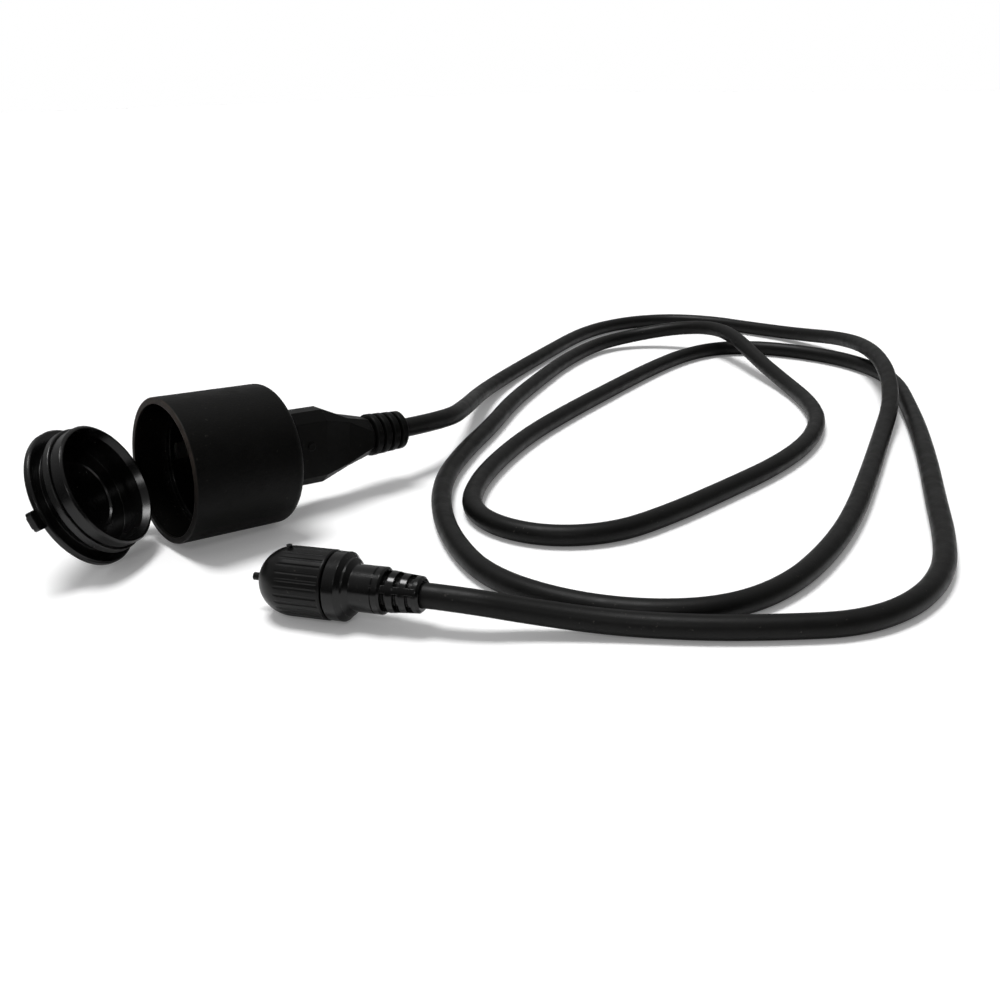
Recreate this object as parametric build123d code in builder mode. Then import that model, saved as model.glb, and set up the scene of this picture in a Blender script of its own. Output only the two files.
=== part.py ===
"""Socket extension cord: a round mains socket with a hinged sealing lid, a ribbed flat grip, a looped
rubber cord and a small round screw connector with a fluted cap on its far end.

Millimetres, +Z up. The origin is the middle of the socket's mouth. The socket lies on its rear edge with
its mouth raised a little, and points along -X. The cord and the connector lie on the same floor.
"""
import os
from math import cos, pi, radians, sin, tan

from build123d import *

os.makedirs("parts", exist_ok=True)

# Socket shell
shell_radius = 25.0
shell_length = 40.4
shell_wall = 2.2
shell_step = 0.4
shell_rear_wall = 2.8
shell_rear_round = 3.0
mouth_round = 0.5
socket_tilt = 4.0

# Lid and its hinge
lid_angle = 56.0
hinge_clock = -36.0
hinge_stand_off = 2.5
hinge_ahead = 1.5
hinge_barrel_radius = 2.2
hinge_pin_radius = 1.1
hinge_pin_head = 0.6
knuckle_width = 6.0
ear_width = 2.2
ear_reach = 8.0
lid_inset = 1.1
lid_gap = 0.25
lid_thickness = 2.8
lid_crown = 0.9
lid_edge_round = 0.9
skirt_depth = 10.0
skirt_inset = 1.9
skirt_wall = 2.4
skirt_lead_in = 1.2
hollow_ring_radius = 12.4
hollow_ring_width = 1.0
hollow_ring_rise = 0.7
groove_depth = 1.5
groove_width = 3.2
seal_inset = 1.1
seal_width = 2.6
seal_seat_depth = 1.1
tab_clock = 20.0
tab_width = 6.5
tab_reach = 3.6
tab_ridge_width = 1.2
tab_ridge_rise = 0.8

# Contact carrier, contacts and earth strap
carrier_wall = 2.45
plug_recess_depth = 17.5
carrier_set_back = 1.5
carrier_floor = 3.0
carrier_skirt_wall = 2.0
pin_entry_radius = 2.6
entry_lip = 1.2
sleeve_radius = 2.9
sleeve_bore_radius = 2.45
sleeve_length = 20.8
sleeve_slit = 0.8
sleeve_clearance = 0.2
crimp_radius = 1.9
crimp_length = 6.0
strap_thickness = 0.9
strap_width = 6.0
strap_offset = 0.35
strap_tail_width = 3.0
strap_tail_length = 17.0
core_radius = 1.15
core_circle_radius = 1.9
core_slant_length = 4.8

# Grip and strain relief
grip_height = 27.6
grip_thickness = 13.0
grip_facet = 3.6
grip_waist_facet = 1.4
grip_end_facet = 4.0
grip_corner = 2.3
grip_straight = 20.0
grip_waist_height = 18.4
grip_waist_thickness = 10.8
grip_taper = 10.5
grip_end_height = 13.8
grip_bevel = 10.0
grip_wall = 1.2
grip_side_wall = 2.5
grip_pip_radius = 1.5
grip_pip_height = 0.5
boot_rib_count = 4
boot_rib_pitch = 4.0
boot_rib_width = 2.7
boot_rib_radius = 8.0
boot_rib_step = 0.2
boot_core_radius = 5.6
boot_core_taper = 0.6
boot_rib_round = 0.35

# Connector and screw cap
connector_heading = -60.0
connector_slope = -1.5
cap_rear_x = 12.2
cap_rear_y = -84.1
cap_radius = 10.5
cap_straight = 12.9
cap_dome = 11.1
cap_edge_bevel = 0.4
cap_flute_count = 28
cap_flute_radius = 0.7
cap_flute_depth = 0.24
cap_flute_start = 0.9
cap_tip_radius = 1.2
cap_tip_length = 3.0
cap_nub_radius = 0.9
cap_nub_height = 1.0
cap_wall = 2.0
nose_length = 11.8
nose_setback = 0.6
nose_wall = 2.2
nose_recess = 7.4
cap_seal_thickness = 1.1
cap_seal_width = 2.2
band_gap = 0.35
band_drop = 0.2
band_back = 4.4
shoulder_back = 7.5
shoulder_step_width = 0.5
connector_radius = 7.0
connector_straight = 16.9
collar_width = 2.35
collar_bevel = 0.6
collar_groove_width = 0.35
collar_groove_depth = 0.35
spigot_radius = 5.2
spigot_length = 7.0
relief_length = 11.4
relief_ring_count = 3
relief_ring_width = 2.0
relief_first_radius = 6.2
relief_last_radius = 5.4
relief_end_bevel = 0.7
relief_core_first = 4.7
relief_core_last = 4.5
relief_web_count = 4
relief_web_angle = 22.0
relief_web_turn = -60.0
contact_pin_count = 3
contact_pin_radius = 0.9
contact_pin_circle = 3.2
contact_pin_length = 13.0

# Cord
cord_radius = 3.75
cord_lead_in = 5.0
cord_lead_out = 23.4
cord_anchor = 11.0
cord_end_run = 21.0

# Clearances
carrier_clearance = 0.2
sliding_clearance = 0.05
seat_clearance = 0.1
hinge_side_clearance = 0.25
running_clearance = 0.05
thread_clearance = 0.2

# Share of the shorter run that a bend of the cord takes up on each side of its corner
bend_share = 0.45

# Floor that everything lies on: under the rounded rear edge of the tilted shell
tilt = radians(socket_tilt)
floor_level = -(
    (shell_radius - shell_rear_round) * cos(tilt)
    + (shell_length - shell_rear_round) * sin(tilt)
    + shell_rear_round
)

# Cord route between its two straight ends: place on the floor, and height of the middle above it
cord_route = [
    (153.5, 27.5, 13), (187.5, 59, 6), (226.5, 82, 3.75), (271, 102, 3.75),
    (319.5, 123, 3.75), (353.5, 126, 3.75), (381, 115, 3.75), (397, 90.5, 3.75), (400.5, 58.5, 3.75),
    (402, 26.5, 4.8), (392.5, -6.5, 9.5), (367, -39, 14), (335, -68.5, 14), (303.5, -90.5, 8.5),
    (268.5, -107, 3.75), (228, -127, 3.75), (186, -147, 3.75), (152.5, -159.5, 3.75),
    (120.5, -166.5, 3.75), (95.5, -163.5, 3.75), (76, -149, 3.75), (63, -127.5, 3.75),
    (58, -101, 3.75), (65, -75.5, 3.75), (80, -47, 3.75), (102.5, -19.5, 3.75), (130.5, 1.5, 3.75),
    (160, 19.5, 3.75), (192, 42, 3.75), (226.5, 61.5, 3.75), (265.5, 82, 3.75), (303, 94.5, 4.5),
    (327, 89.5, 6.5), (343.5, 71.5, 11), (347.5, 48, 14.5), (338, 24.5, 14.5), (323.5, -2.5, 8.5),
    (309, -30.5, 4.2), (291.5, -55, 3.75), (270, -75.5, 3.75), (240.5, -90.5, 3.75),
    (207.5, -98.5, 3.75), (172.5, -101.5, 3.75), (138.5, -103.5, 3.75), (112.5, -102, 3.75),
    (94, -89.5, 3.75), (86.5, -70, 3.75), (91, -50, 3.75), (108, -33, 3.75), (132.5, -17, 3.75),
    (165.5, -0.5, 3.75), (204, 13, 3.75), (243, 25, 3.75), (283, 37, 3.75), (319.5, 45, 3.75),
    (345.5, 42.5, 3.75), (363, 27, 3.75), (371.5, 2, 3.75), (372.5, -23, 3.75), (364, -48, 3.75),
    (346, -69, 3.75), (319.5, -89.5, 3.75), (291.5, -110.5, 3.75), (253, -137, 3.75),
    (216.5, -160.5, 3.75), (189.5, -178.5, 3.75), (164.5, -192.5, 3.75), (139, -198.5, 3.75),
    (115.5, -195, 3.75), (96.5, -180.5, 3.75), (79.5, -165, 3.75), (63, -146.5, 4.2), (46.5, -130, 7.5),
]


def save(piece, name):
    """Labels a finished piece and writes its file."""
    piece.part.label = name
    export_step(piece.part, f"parts/{name}.step")


# Socket directions: inward along its axis, and up across it
inward = Vector(cos(tilt), 0, -sin(tilt))
across_up = Vector(sin(tilt), 0, cos(tilt))
sideways = Vector(0, 1, 0)
socket_axis = Axis((0, 0, 0), inward)
lengthwise = Plane(origin=(0, 0, 0), x_dir=inward, z_dir=-sideways)
level = Plane(origin=(0, 0, 0), x_dir=inward, z_dir=across_up)


def across(depth):
    """Plane square to the socket's axis, at a depth behind the mouth: x sideways, y up."""
    return Plane(origin=inward * depth, x_dir=sideways, z_dir=inward)


def socket_point(depth, side, rise):
    """Point at a depth behind the mouth, and beside and above the socket's axis."""
    return inward * depth + sideways * side + across_up * rise


# Derived sizes of the socket
shell_bore_radius = shell_radius - shell_wall
shell_back = shell_length - shell_rear_wall
lid_radius = shell_radius - lid_inset
skirt_radius = shell_bore_radius - skirt_inset
seal_radius = shell_bore_radius - seal_inset
carrier_front = skirt_depth + carrier_set_back
recess_floor = carrier_front + plug_recess_depth
carrier_back = recess_floor + carrier_floor
carrier_bore_radius = shell_bore_radius - shell_step
carrier_radius = carrier_bore_radius - carrier_clearance
plug_recess_radius = carrier_radius - carrier_wall
pin_spacing = grip_height - 2 * (grip_wall + sleeve_clearance + sleeve_radius)
sleeve_front = recess_floor + entry_lip
sleeve_back = sleeve_front + sleeve_length
crimp_back = sleeve_back + crimp_length
strap_inside = plug_recess_radius + strap_offset
strap_middle = strap_inside + strap_thickness / 2
bridge_front = carrier_back + seat_clearance
strap_tail_back = bridge_front + strap_tail_length
grip_waist = shell_length + grip_straight + grip_taper
grip_end = grip_waist + grip_bevel
boot_end = grip_end + boot_rib_count * boot_rib_pitch
cavity_height = grip_height - 2 * grip_wall
cavity_thickness = grip_thickness - 2 * grip_side_wall
cavity_end = grip_waist - seat_clearance
cord_bore_radius = cord_radius + sliding_clearance
cord_start = cavity_end + cord_lead_in
core_bend_radius = (cavity_end - crimp_back - core_slant_length) / 3

# Hinge: its place on the mouth's rim, and the directions of the closed and the open lid
clock = radians(hinge_clock)
outward = -inward
hinge_radial = sideways * cos(clock) + across_up * sin(clock)
hinge_line = outward.cross(hinge_radial)
hinge_radius = shell_radius + hinge_stand_off
hinge_centre = hinge_radial * hinge_radius + outward * hinge_ahead
opening = radians(lid_angle)
lid_out = outward * cos(opening) + hinge_radial * sin(opening)
lid_to_hinge = hinge_radial * cos(opening) - outward * sin(opening)
lid_origin = hinge_centre - lid_to_hinge * hinge_radius - lid_out * hinge_ahead
lid_axis = Axis(lid_origin, lid_out)
lid_face = Plane(origin=lid_origin, x_dir=lid_to_hinge, z_dir=lid_out)
lid_section = Plane(origin=lid_origin, x_dir=lid_to_hinge, z_dir=-hinge_line)
ear_section = Plane(origin=hinge_centre, x_dir=hinge_radial, z_dir=hinge_line)
knuckle_section = Plane(origin=hinge_centre, x_dir=lid_to_hinge, z_dir=hinge_line)
ear_inner = knuckle_width / 2 + hinge_side_clearance

# Socket shell: a round cup with two hinge ears on its rim and an opening for the contacts behind
with BuildPart() as socket_shell:
    with BuildSketch(lengthwise):
        with BuildLine():
            Polyline(
                (0, shell_bore_radius),
                (0, shell_radius),
                (shell_length, shell_radius),
                (shell_length, 0),
                (shell_back, 0),
                (shell_back, carrier_bore_radius),
                (carrier_front, carrier_bore_radius),
                (carrier_front, shell_bore_radius),
                close=True,
            )
        make_face()
    revolve(axis=socket_axis)
    rims = socket_shell.edges().filter_by(GeomType.CIRCLE)
    fillet(rims.group_by(socket_axis)[-1], shell_rear_round)
    rims = socket_shell.edges().filter_by(GeomType.CIRCLE)
    fillet(rims.group_by(socket_axis)[0].sort_by(SortBy.RADIUS)[-1], mouth_round)
    with BuildSketch(across(shell_length)):
        RectangleRounded(cavity_thickness, cavity_height, grip_corner)
    extrude(amount=-2 * shell_rear_wall, mode=Mode.SUBTRACT)
    for start in (ear_inner, -ear_inner - ear_width):
        with BuildSketch(ear_section.offset(start)):
            with BuildLine():
                Polyline(
                    (-hinge_barrel_radius, 0),
                    (-hinge_barrel_radius, hinge_ahead + mouth_round),
                    (-hinge_stand_off - shell_wall / 2, hinge_ahead + 2 * mouth_round),
                    (-hinge_stand_off - shell_wall / 2, hinge_ahead + ear_reach),
                    (hinge_barrel_radius, 0),
                    close=True,
                )
            make_face()
            Circle(hinge_barrel_radius)
            Circle(hinge_pin_radius, mode=Mode.SUBTRACT)
        extrude(amount=ear_width)
save(socket_shell, "socket_shell")

# Hinge pin: a plain rivet with a head at each end
with BuildPart() as hinge_pin:
    ear_outer = ear_inner + ear_width
    with BuildSketch(ear_section.offset(-ear_outer - hinge_pin_head)):
        Circle(hinge_pin_radius)
    extrude(amount=2 * (ear_outer + hinge_pin_head))
    for start in (-ear_outer - hinge_pin_head, ear_outer):
        with BuildSketch(ear_section.offset(start)):
            Circle((hinge_pin_radius + hinge_barrel_radius) / 2)
        extrude(amount=hinge_pin_head)
save(hinge_pin, "hinge_pin")

# Lid: a crowned disc with a grooved hollow skirt, a lift tab and the hinge knuckle
seal_seat_radius = seal_radius - seal_seat_depth
groove_radius = skirt_radius - groove_depth
seal_top = lid_gap - groove_width
seal_bottom = seal_top - seal_width
lid_top = lid_gap + lid_thickness
hollow_radius = skirt_radius - skirt_wall
with BuildPart() as lid:
    with BuildSketch(lid_section):
        with BuildLine():
            ThreePointArc(
                (0, lid_top + lid_crown),
                (lid_radius / 2, lid_top + lid_crown * 3 / 4),
                (lid_radius - lid_edge_round, lid_top),
            )
            Polyline(
                (lid_radius - lid_edge_round, lid_top),
                (lid_radius, lid_top - lid_edge_round),
                (lid_radius, lid_gap + lid_edge_round / 2),
                (lid_radius - lid_edge_round / 2, lid_gap),
                (groove_radius, lid_gap),
                (groove_radius, seal_top + seal_seat_depth / 2),
                (seal_seat_radius + seal_seat_depth / 2, seal_top),
                (seal_seat_radius, seal_top),
                (seal_seat_radius, seal_bottom - seat_clearance),
                (skirt_radius, seal_bottom - seat_clearance),
                (skirt_radius, -skirt_depth + skirt_lead_in / 2),
                (skirt_radius - skirt_lead_in / 2, -skirt_depth),
                (hollow_radius + skirt_lead_in, -skirt_depth),
                (hollow_radius, -skirt_depth + 2 * skirt_lead_in),
                (hollow_radius, lid_gap),
                (hollow_ring_radius + hollow_ring_width, lid_gap),
                (hollow_ring_radius + hollow_ring_width / 2, lid_gap - hollow_ring_rise),
                (hollow_ring_radius - hollow_ring_width / 2, lid_gap - hollow_ring_rise),
                (hollow_ring_radius - hollow_ring_width, lid_gap),
                (0, lid_gap),
                (0, lid_top + lid_crown),
            )
        make_face()
    revolve(axis=lid_axis)
    tab_middle = lid_radius + (tab_reach - lid_edge_round) / 2
    with BuildSketch(lid_face.offset(lid_gap + lid_edge_round)):
        with PolarLocations(tab_middle, 1, start_angle=180 - tab_clock):
            RectangleRounded(tab_reach + lid_edge_round, tab_width, lid_edge_round)
    extrude(amount=lid_thickness - lid_edge_round)
    with BuildSketch(lid_face.offset(lid_top - lid_edge_round)):
        with PolarLocations(lid_radius + tab_reach - tab_ridge_width, 1, start_angle=180 - tab_clock):
            RectangleRounded(tab_ridge_width, tab_width - 2 * tab_ridge_width, tab_ridge_width / 3)
    extrude(amount=lid_edge_round + tab_ridge_rise)
    with BuildSketch(knuckle_section.offset(-knuckle_width / 2)):
        with BuildLine():
            Polyline(
                (0, -hinge_barrel_radius / 2),
                (0, hinge_ahead - lid_gap),
                (lid_radius - hinge_radius - 2 * lid_edge_round, hinge_ahead - lid_gap),
                (lid_radius - hinge_radius - 2 * lid_edge_round, hinge_ahead - lid_top + lid_edge_round),
                close=True,
            )
        make_face()
        Circle(hinge_barrel_radius)
        Circle(hinge_pin_radius + running_clearance, mode=Mode.SUBTRACT)
    extrude(amount=knuckle_width)
save(lid, "lid")

# Lid seal: a rubber ring that sits in the skirt's seat
with BuildPart() as lid_seal:
    with BuildSketch(lid_section):
        with Locations(((seal_seat_radius + sliding_clearance + seal_radius) / 2, (seal_top + seal_bottom) / 2)):
            RectangleRounded(
                seal_radius - seal_seat_radius - sliding_clearance, seal_width - seat_clearance, seal_seat_depth / 3
            )
    revolve(axis=lid_axis)
save(lid_seal, "lid_seal")

# Contact carrier: the round insert with the plug recess
with BuildPart() as contact_carrier:
    with BuildSketch(lengthwise):
        with BuildLine():
            Polyline(
                (carrier_front, plug_recess_radius),
                (carrier_front, carrier_radius),
                (shell_back, carrier_radius),
                (shell_back, carrier_radius - carrier_skirt_wall),
                (carrier_back, carrier_radius - carrier_skirt_wall),
                (carrier_back, 0),
                (recess_floor, 0),
                (recess_floor, plug_recess_radius),
                close=True,
            )
        make_face()
    revolve(axis=socket_axis)
    with BuildSketch(across(recess_floor)):
        with Locations((0, pin_spacing / 2), (0, -pin_spacing / 2)):
            Circle(pin_entry_radius)
    extrude(amount=carrier_floor, mode=Mode.SUBTRACT)
    with BuildSketch(across(sleeve_front - seat_clearance)):
        with Locations((0, pin_spacing / 2), (0, -pin_spacing / 2)):
            Circle(sleeve_radius + sliding_clearance)
    extrude(amount=carrier_floor, mode=Mode.SUBTRACT)
    with BuildSketch(across(carrier_front + carrier_set_back)):
        with Locations((strap_inside, 0), (-strap_inside, 0)):
            Rectangle(2 * (strap_thickness + seat_clearance), strap_width + 4 * seat_clearance)
    extrude(amount=shell_back - carrier_front, mode=Mode.SUBTRACT)
save(contact_carrier, "contact_carrier")

# Contact sleeves: sprung brass tubes with a crimp barrel behind
for name, rise in (("contact_sleeve_upper", pin_spacing / 2), ("contact_sleeve_lower", -pin_spacing / 2)):
    with BuildPart() as contact_sleeve:
        with BuildSketch(across(sleeve_front)):
            with Locations((0, rise)):
                Circle(sleeve_radius)
        extrude(amount=sleeve_length)
        with BuildSketch(across(sleeve_back)):
            with Locations((0, rise)):
                Circle(crimp_radius)
        extrude(amount=crimp_length)
        with BuildSketch(across(sleeve_front)):
            with Locations((0, rise)):
                Circle(sleeve_bore_radius)
        extrude(amount=sleeve_length - sleeve_slit, mode=Mode.SUBTRACT)
        with BuildSketch(across(sleeve_front)):
            with Locations((0, rise)):
                Rectangle(2 * sleeve_radius + sleeve_slit, sleeve_slit)
        extrude(amount=sleeve_length * 2 / 3, mode=Mode.SUBTRACT)
        with BuildSketch(across(crimp_back)):
            with Locations((0, rise)):
                Circle(core_radius + sliding_clearance)
        extrude(amount=-crimp_length + sleeve_slit, mode=Mode.SUBTRACT)
    save(contact_sleeve, name)

# Earth strap: one bent strip, an arm up each side of the recess, and a tail to the earth core
with BuildPart() as earth_strap:
    with BuildLine(level):
        strip_line = FilletPolyline(
            (carrier_front + 2 * carrier_set_back, strap_middle),
            (bridge_front + strap_thickness / 2, strap_middle),
            (bridge_front + strap_thickness / 2, -strap_middle),
            (carrier_front + 2 * carrier_set_back, -strap_middle),
            radius=2 * strap_thickness,
        )
    with BuildSketch(across(carrier_front + 2 * carrier_set_back)):
        with Locations((strap_middle, 0)):
            Rectangle(strap_thickness, strap_width)
    sweep(path=strip_line)
    with BuildSketch(across(bridge_front + strap_thickness / 2)):
        Rectangle(strap_tail_width, strap_thickness)
    extrude(amount=strap_tail_length)
save(earth_strap, "earth_strap")

# Core wires: from the crimps and the strap's tail to the end of the cord
core_bundle = [(0, core_circle_radius)]
for turn in (210, 330):
    core_bundle.append((core_circle_radius * cos(radians(turn)), core_circle_radius * sin(radians(turn))))
tail_middle = -core_radius - strap_thickness / 2
core_starts = {
    "core_wire_live": (crimp_back - crimp_length / 2, 0, pin_spacing / 2, core_bundle[0]),
    "core_wire_neutral": (crimp_back - crimp_length / 2, 0, -pin_spacing / 2, core_bundle[1]),
    "core_wire_earth": (strap_tail_back - crimp_length / 2, 0, tail_middle - seat_clearance, core_bundle[2]),
}
for name, (depth, side, rise, (end_side, end_rise)) in core_starts.items():
    with BuildPart() as core_wire:
        with BuildLine():
            core_line = FilletPolyline(
                socket_point(depth, side, rise),
                socket_point(crimp_back + core_bend_radius, side, rise),
                socket_point(cavity_end - 2 * core_bend_radius, end_side, end_rise),
                socket_point(cord_start, end_side, end_rise),
                radius=core_bend_radius,
            )
        with BuildSketch(across(depth)):
            with Locations((side, rise)):
                Circle(core_radius)
        sweep(path=core_line)
    save(core_wire, name)

# Grip and strain relief: one moulding, a flat neck that tapers into four ribs
with BuildPart() as grip_boot:
    grip_sections = (
        (shell_length, grip_thickness / 2, grip_height / 2, grip_facet),
        (shell_length + grip_straight, grip_thickness / 2, grip_height / 2, grip_facet),
        (grip_waist, grip_waist_thickness / 2, grip_waist_height / 2, grip_waist_facet),
        (grip_end, grip_end_height / 2, grip_end_height / 2, grip_end_facet),
    )
    for depth, half_side, half_rise, facet in grip_sections:
        with BuildSketch(across(depth)):
            with BuildLine():
                Polyline(
                    (half_side, facet - half_rise),
                    (half_side, half_rise - facet),
                    (half_side - facet, half_rise),
                    (facet - half_side, half_rise),
                    (-half_side, half_rise - facet),
                    (-half_side, facet - half_rise),
                    (facet - half_side, -half_rise),
                    (half_side - facet, -half_rise),
                    close=True,
                )
            make_face()
    loft(ruled=True)
    with BuildSketch(lengthwise):
        with BuildLine():
            rib_outline = [(grip_end, 0), (grip_end, boot_core_radius)]
            for rib in range(boot_rib_count):
                rib_front = grip_end + rib * boot_rib_pitch + boot_rib_pitch - boot_rib_width
                rib_radius = boot_rib_radius - rib * boot_rib_step
                core_here = boot_core_radius - boot_core_taper * rib / boot_rib_count
                rib_outline.append((rib_front, core_here))
                rib_outline.append((rib_front, rib_radius - boot_rib_round))
                rib_outline.append((rib_front + boot_rib_round, rib_radius))
                rib_outline.append((rib_front + boot_rib_width - boot_rib_round, rib_radius))
                rib_outline.append((rib_front + boot_rib_width, rib_radius - boot_rib_round))
                if rib < boot_rib_count - 1:
                    rib_outline.append((rib_front + boot_rib_width, core_here))
            rib_outline.append((boot_end, 0))
            Polyline(*rib_outline, close=True)
        make_face()
    revolve(axis=socket_axis)
    with BuildSketch(lengthwise.offset(grip_thickness / 2)):
        with Locations((shell_length + grip_straight * 2 / 3, grip_pip_radius)):
            Circle(grip_pip_radius)
    extrude(amount=grip_pip_height)
    cavity_sections = (
        (shell_length, cavity_thickness, cavity_height),
        (crimp_back, cavity_thickness, cavity_height),
        (cavity_end, cavity_thickness, grip_waist_height - 2 * grip_side_wall),
    )
    for depth, thickness, height in cavity_sections:
        with BuildSketch(across(depth)):
            RectangleRounded(thickness, height, grip_corner)
    loft(ruled=True, mode=Mode.SUBTRACT)
    with BuildSketch(across(boot_end)):
        Circle(cord_bore_radius)
    extrude(amount=cavity_end - boot_end - seat_clearance, mode=Mode.SUBTRACT)
save(grip_boot, "grip_boot")

# Connector directions: back along its axis, towards the cord, and forward, towards the cap's tip
heading = radians(connector_heading)
slope = radians(connector_slope)
backward = Vector(cos(heading) * cos(slope), sin(heading) * cos(slope), -sin(slope))
forward = -backward
level_side = Vector(-sin(heading), cos(heading), 0)
connector_up = level_side.cross(forward)
cap_lift = cap_straight * max(0, -sin(slope))
cap_rear = Vector(cap_rear_x, cap_rear_y, floor_level + cap_radius * cos(slope) + cap_lift)
connector_axis = Axis(cap_rear, forward)
connector_section = Plane(origin=cap_rear, x_dir=forward, z_dir=level_side)


def cap_across(distance):
    """Plane square to the connector's axis, at a distance ahead of the cap's rear face."""
    return Plane(origin=cap_rear + forward * distance, x_dir=level_side, z_dir=forward)


# Derived sizes of the connector
cap_bore_radius = cap_radius - cap_wall
nose_radius = cap_bore_radius - thread_clearance
nose_front = nose_setback + nose_length
cap_ceiling = nose_front + cap_seal_thickness + 2 * seat_clearance
cap_length = cap_straight + cap_dome
band_radius = cap_radius - band_drop
step_radius = (band_radius + connector_radius) / 2
step_middle = -(band_back + shoulder_back) / 2
collar_front = -connector_straight + collar_width
groove_front = collar_front + collar_groove_width
groove_radius = connector_radius - collar_groove_depth
relief_end = -connector_straight - relief_length

# Screw cap: a fluted cap with a domed front, a tip and a small nub
with BuildPart() as screw_cap:
    with BuildSketch(connector_section):
        with BuildLine():
            Polyline(
                (cap_length, 0),
                (cap_ceiling + cap_dome / 2, 0),
                (cap_ceiling + cap_dome / 2, cap_bore_radius - cap_seal_width),
                (cap_ceiling, cap_bore_radius - cap_seal_width),
                (cap_ceiling, cap_bore_radius),
                (0, cap_bore_radius),
                (0, cap_radius - cap_edge_bevel),
                (cap_edge_bevel, cap_radius),
                (cap_straight, cap_radius),
            )
            EllipticalCenterArc((cap_straight, 0), cap_dome, cap_radius, start_angle=0, arc_size=90)
        make_face()
    revolve(axis=connector_axis)
    with BuildSketch(cap_across(cap_flute_start)):
        with PolarLocations(cap_radius + cap_flute_radius - cap_flute_depth, cap_flute_count):
            Circle(cap_flute_radius)
    extrude(amount=cap_straight + cap_dome / 2 - cap_flute_start, mode=Mode.SUBTRACT)
    with BuildSketch(cap_across(cap_length - cap_tip_radius)):
        Circle(cap_tip_radius)
    extrude(amount=cap_tip_length + cap_tip_radius)
    nub_foot = cap_rear + forward * (cap_straight + cap_nub_radius) + connector_up * (cap_radius - cap_wall / 2)
    with BuildSketch(Plane(origin=nub_foot, z_dir=connector_up)):
        Circle(cap_nub_radius)
    extrude(amount=cap_wall / 2 + cap_nub_height)
save(screw_cap, "screw_cap")

# Cap seal: a flat rubber washer against the cap's inner step
with BuildPart() as cap_seal:
    with BuildSketch(cap_across(nose_front + seat_clearance)):
        Circle(cap_bore_radius - seat_clearance)
        Circle(cap_bore_radius - cap_seal_width, mode=Mode.SUBTRACT)
    extrude(amount=cap_seal_thickness)
save(cap_seal, "cap_seal")

# Connector insert: the screwed nose with its contact recess, and a spigot into the body
with BuildPart() as connector_insert:
    with BuildSketch(cap_across(nose_setback)):
        Circle(nose_radius)
    extrude(amount=nose_length)
    with BuildSketch(cap_across(nose_setback)):
        Circle(spigot_radius)
    extrude(amount=-spigot_length)
    with BuildSketch(cap_across(nose_front)):
        Circle(nose_radius - nose_wall)
    extrude(amount=-nose_recess, mode=Mode.SUBTRACT)
    with BuildSketch(cap_across(nose_setback - spigot_length)):
        with PolarLocations(contact_pin_circle, contact_pin_count):
            Circle(contact_pin_radius)
    extrude(amount=nose_length + spigot_length, mode=Mode.SUBTRACT)
save(connector_insert, "connector_insert")

# Contact pins: three round pins through the insert
for number in range(contact_pin_count):
    pin_turn = radians(360 * number / contact_pin_count)
    with BuildPart() as contact_pin:
        with BuildSketch(cap_across(nose_setback - spigot_length)):
            with Locations((contact_pin_circle * cos(pin_turn), contact_pin_circle * sin(pin_turn))):
                Circle(contact_pin_radius - sliding_clearance)
        extrude(amount=contact_pin_length)
        fillet(contact_pin.edges().group_by(connector_axis)[-1], contact_pin_radius / 2)
    save(contact_pin, f"contact_pin_{number + 1}")

# Connector body: the overmould, with a band behind the cap, a stepped cone, a collar and a slotted relief
with BuildPart() as connector_body:
    with BuildSketch(connector_section):
        with BuildLine():
            body_outline = [
                (relief_end, 0),
                (nose_setback, 0),
                (nose_setback, connector_radius),
                (-band_gap, connector_radius),
                (-band_gap, band_radius - cap_edge_bevel),
                (-band_gap - cap_edge_bevel, band_radius),
                (-band_back, band_radius),
                (step_middle + shoulder_step_width / 2, step_radius),
                (step_middle - shoulder_step_width / 2, step_radius),
                (-shoulder_back, connector_radius),
                (groove_front, connector_radius),
                (groove_front, groove_radius),
                (collar_front, groove_radius),
                (collar_front, connector_radius),
                (-connector_straight + collar_bevel, connector_radius),
                (-connector_straight, connector_radius - collar_bevel),
                (-connector_straight, relief_core_first),
            ]
            ring_pitch = relief_length / relief_ring_count
            ring_step = (relief_first_radius - relief_last_radius) / (relief_ring_count - 1)
            core_step = (relief_core_first - relief_core_last) / relief_ring_count
            for ring in range(relief_ring_count):
                core_here = relief_core_first - ring * core_step
                ring_back = -connector_straight - (ring + 1) * ring_pitch
                ring_radius = relief_first_radius - ring * ring_step
                body_outline.append((ring_back + relief_ring_width, core_here))
                body_outline.append((ring_back + relief_ring_width, ring_radius))
                if ring < relief_ring_count - 1:
                    body_outline.append((ring_back, ring_radius - ring_step / 2))
                    body_outline.append((ring_back, core_here - core_step))
            body_outline.append((relief_end + relief_end_bevel, relief_last_radius))
            body_outline.append((relief_end, relief_last_radius - relief_end_bevel))
            Polyline(*body_outline, close=True)
        make_face()
    revolve(axis=connector_axis)
    for web in range(relief_web_count):
        web_start = radians(relief_web_turn + web * 360 / relief_web_count - relief_web_angle / 2)
        web_side = level_side * cos(web_start) - connector_up * sin(web_start)
        with BuildSketch(Plane(origin=cap_rear, x_dir=forward, z_dir=web_side)):
            with BuildLine():
                Polyline(
                    (-connector_straight, relief_core_last),
                    (-connector_straight, relief_first_radius),
                    (relief_end + relief_end_bevel, relief_last_radius),
                    (relief_end + relief_end_bevel, relief_core_last),
                    close=True,
                )
            make_face()
        revolve(axis=connector_axis, revolution_arc=relief_web_angle)
    with BuildSketch(cap_across(nose_setback)):
        Circle(spigot_radius + sliding_clearance)
    extrude(amount=-spigot_length - seat_clearance, mode=Mode.SUBTRACT)
    with BuildSketch(cap_across(relief_end)):
        Circle(cord_bore_radius)
    extrude(amount=cord_anchor + seat_clearance, mode=Mode.SUBTRACT)
save(connector_body, "connector_body")

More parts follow.
